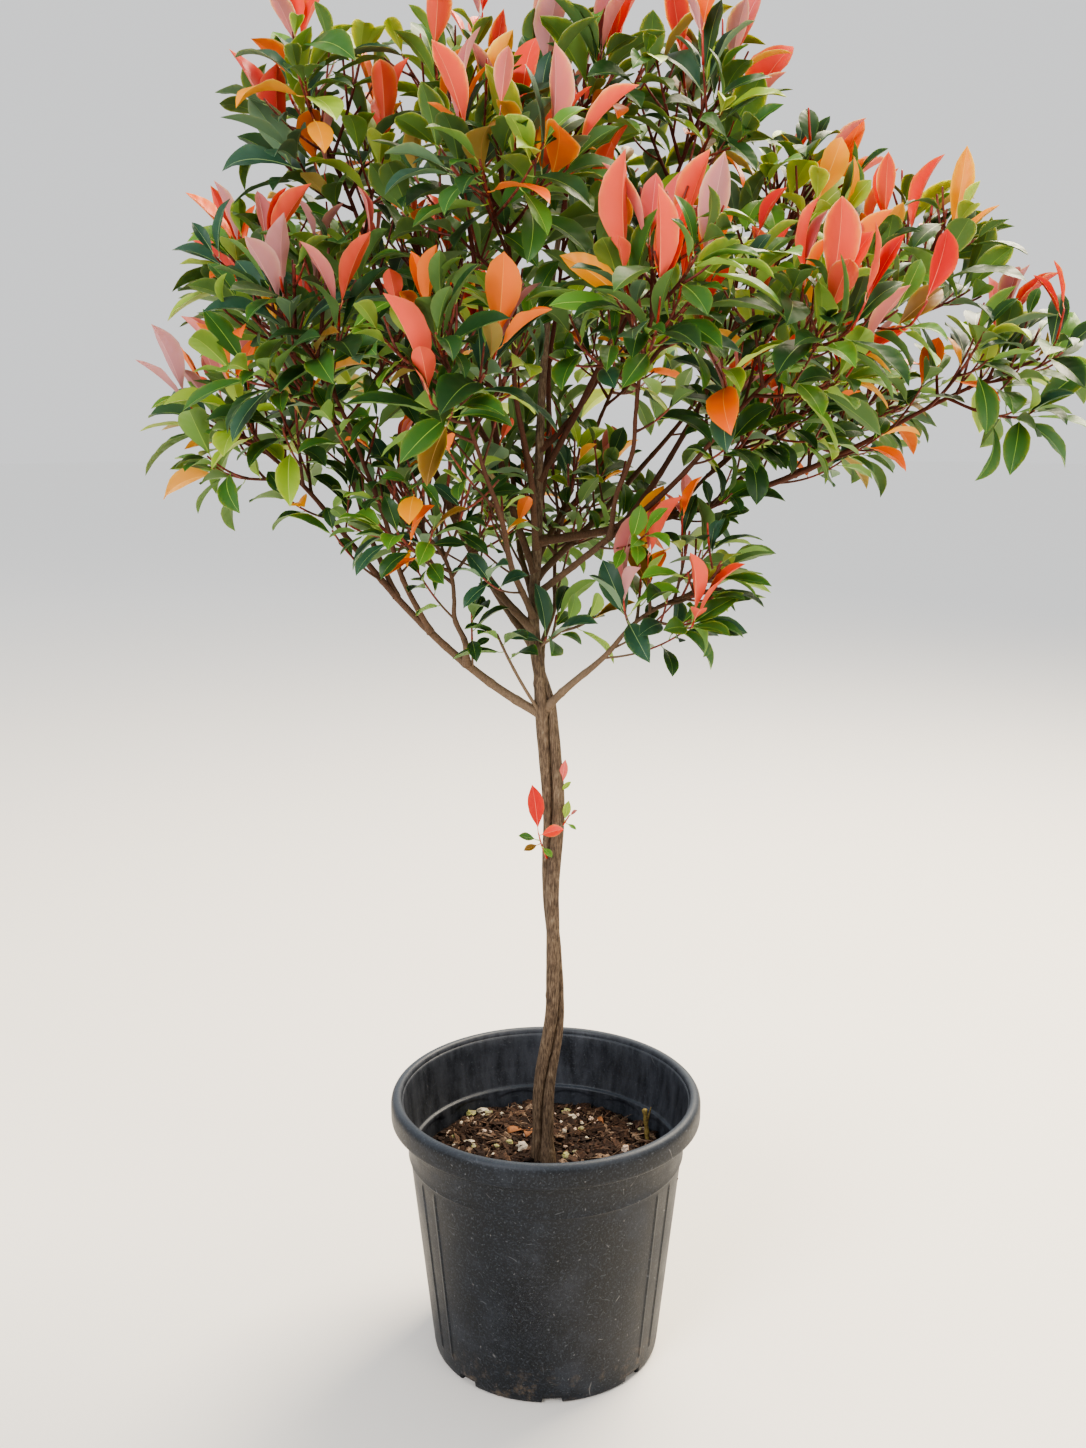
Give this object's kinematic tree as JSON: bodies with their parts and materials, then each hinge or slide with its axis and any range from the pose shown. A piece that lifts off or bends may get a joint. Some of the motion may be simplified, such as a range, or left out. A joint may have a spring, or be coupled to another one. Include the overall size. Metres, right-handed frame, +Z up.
{
  "type": "potted shrub",
  "caption": "Half-standard photinia shrub: a twisted two-stem trunk, an open crown of glossy green and coral-red leaves, and a round black nursery pot of bark mulch.",
  "frame": {"origin": "centre of the pot's flat underside", "axes": "+Z up the trunk, +X to the side with the long bough, +Y to the back of the plant as seen from its front"},
  "size_m": [0.9365, 0.6481, 1.3712],
  "materials": {
    "pot": "moulded black polypropylene, dusty and finely scratched",
    "mulch": "dark bark mulch over compost, with small stones",
    "bark": "grey-brown trunk bark, finely wrinkled",
    "bough_bark": "reddish brown young bark",
    "leaf": "leathery evergreen leaf, glossy above, coral-red when young"
  },
  "bodies": {
    "root": {"pot": "pot", "mulch": "mulch", "trunk": "bark", "bough_back_left": "bough_bark", "bough_back_right": "bough_bark", "bough_front_left": "bough_bark", "bough_front_right": "bough_bark", "bough_inner_back": "bough_bark", "bough_inner_left": "bough_bark", "bough_left_back": "bough_bark", "bough_left_front": "bough_bark", "bough_left_low": "bough_bark", "bough_left_mid": "bough_bark", "bough_left_top": "bough_bark", "bough_mid_left": "bough_bark", "bough_mid_right": "bough_bark", "bough_right_back": "bough_bark", "bough_right_cluster": "bough_bark", "bough_right_far": "bough_bark", "bough_right_front": "bough_bark", "bough_right_inner": "bough_bark", "bough_right_low": "bough_bark", "bough_right_mid": "bough_bark", "bough_right_top": "bough_bark", "bough_top_back": "bough_bark", "bough_top_front": "bough_bark", "bough_top_left": "bough_bark", "bough_top_right": "bough_bark", "foliage_back_left": "leaf", "foliage_back_right": "leaf", "foliage_fork_tuft": "leaf", "foliage_front_left": "leaf", "foliage_front_right": "leaf", "foliage_inner_back": "leaf", "foliage_inner_left": "leaf", "foliage_left_back": "leaf", "foliage_left_front": "leaf", "foliage_left_low": "leaf", "foliage_left_mid": "leaf", "foliage_left_top": "leaf", "foliage_low_twig": "leaf", "foliage_mid_left": "leaf", "foliage_mid_right": "leaf", "foliage_right_back": "leaf", "foliage_right_cluster": "leaf", "foliage_right_far": "leaf", "foliage_right_front": "leaf", "foliage_right_inner": "leaf", "foliage_right_low": "leaf", "foliage_right_mid": "leaf", "foliage_right_top": "leaf", "foliage_top_back": "leaf", "foliage_top_front": "leaf", "foliage_top_left": "leaf", "foliage_top_mid": "leaf", "foliage_top_right": "leaf", "foliage_trunk_sprout": "leaf"}
  },
  "joints": []
}
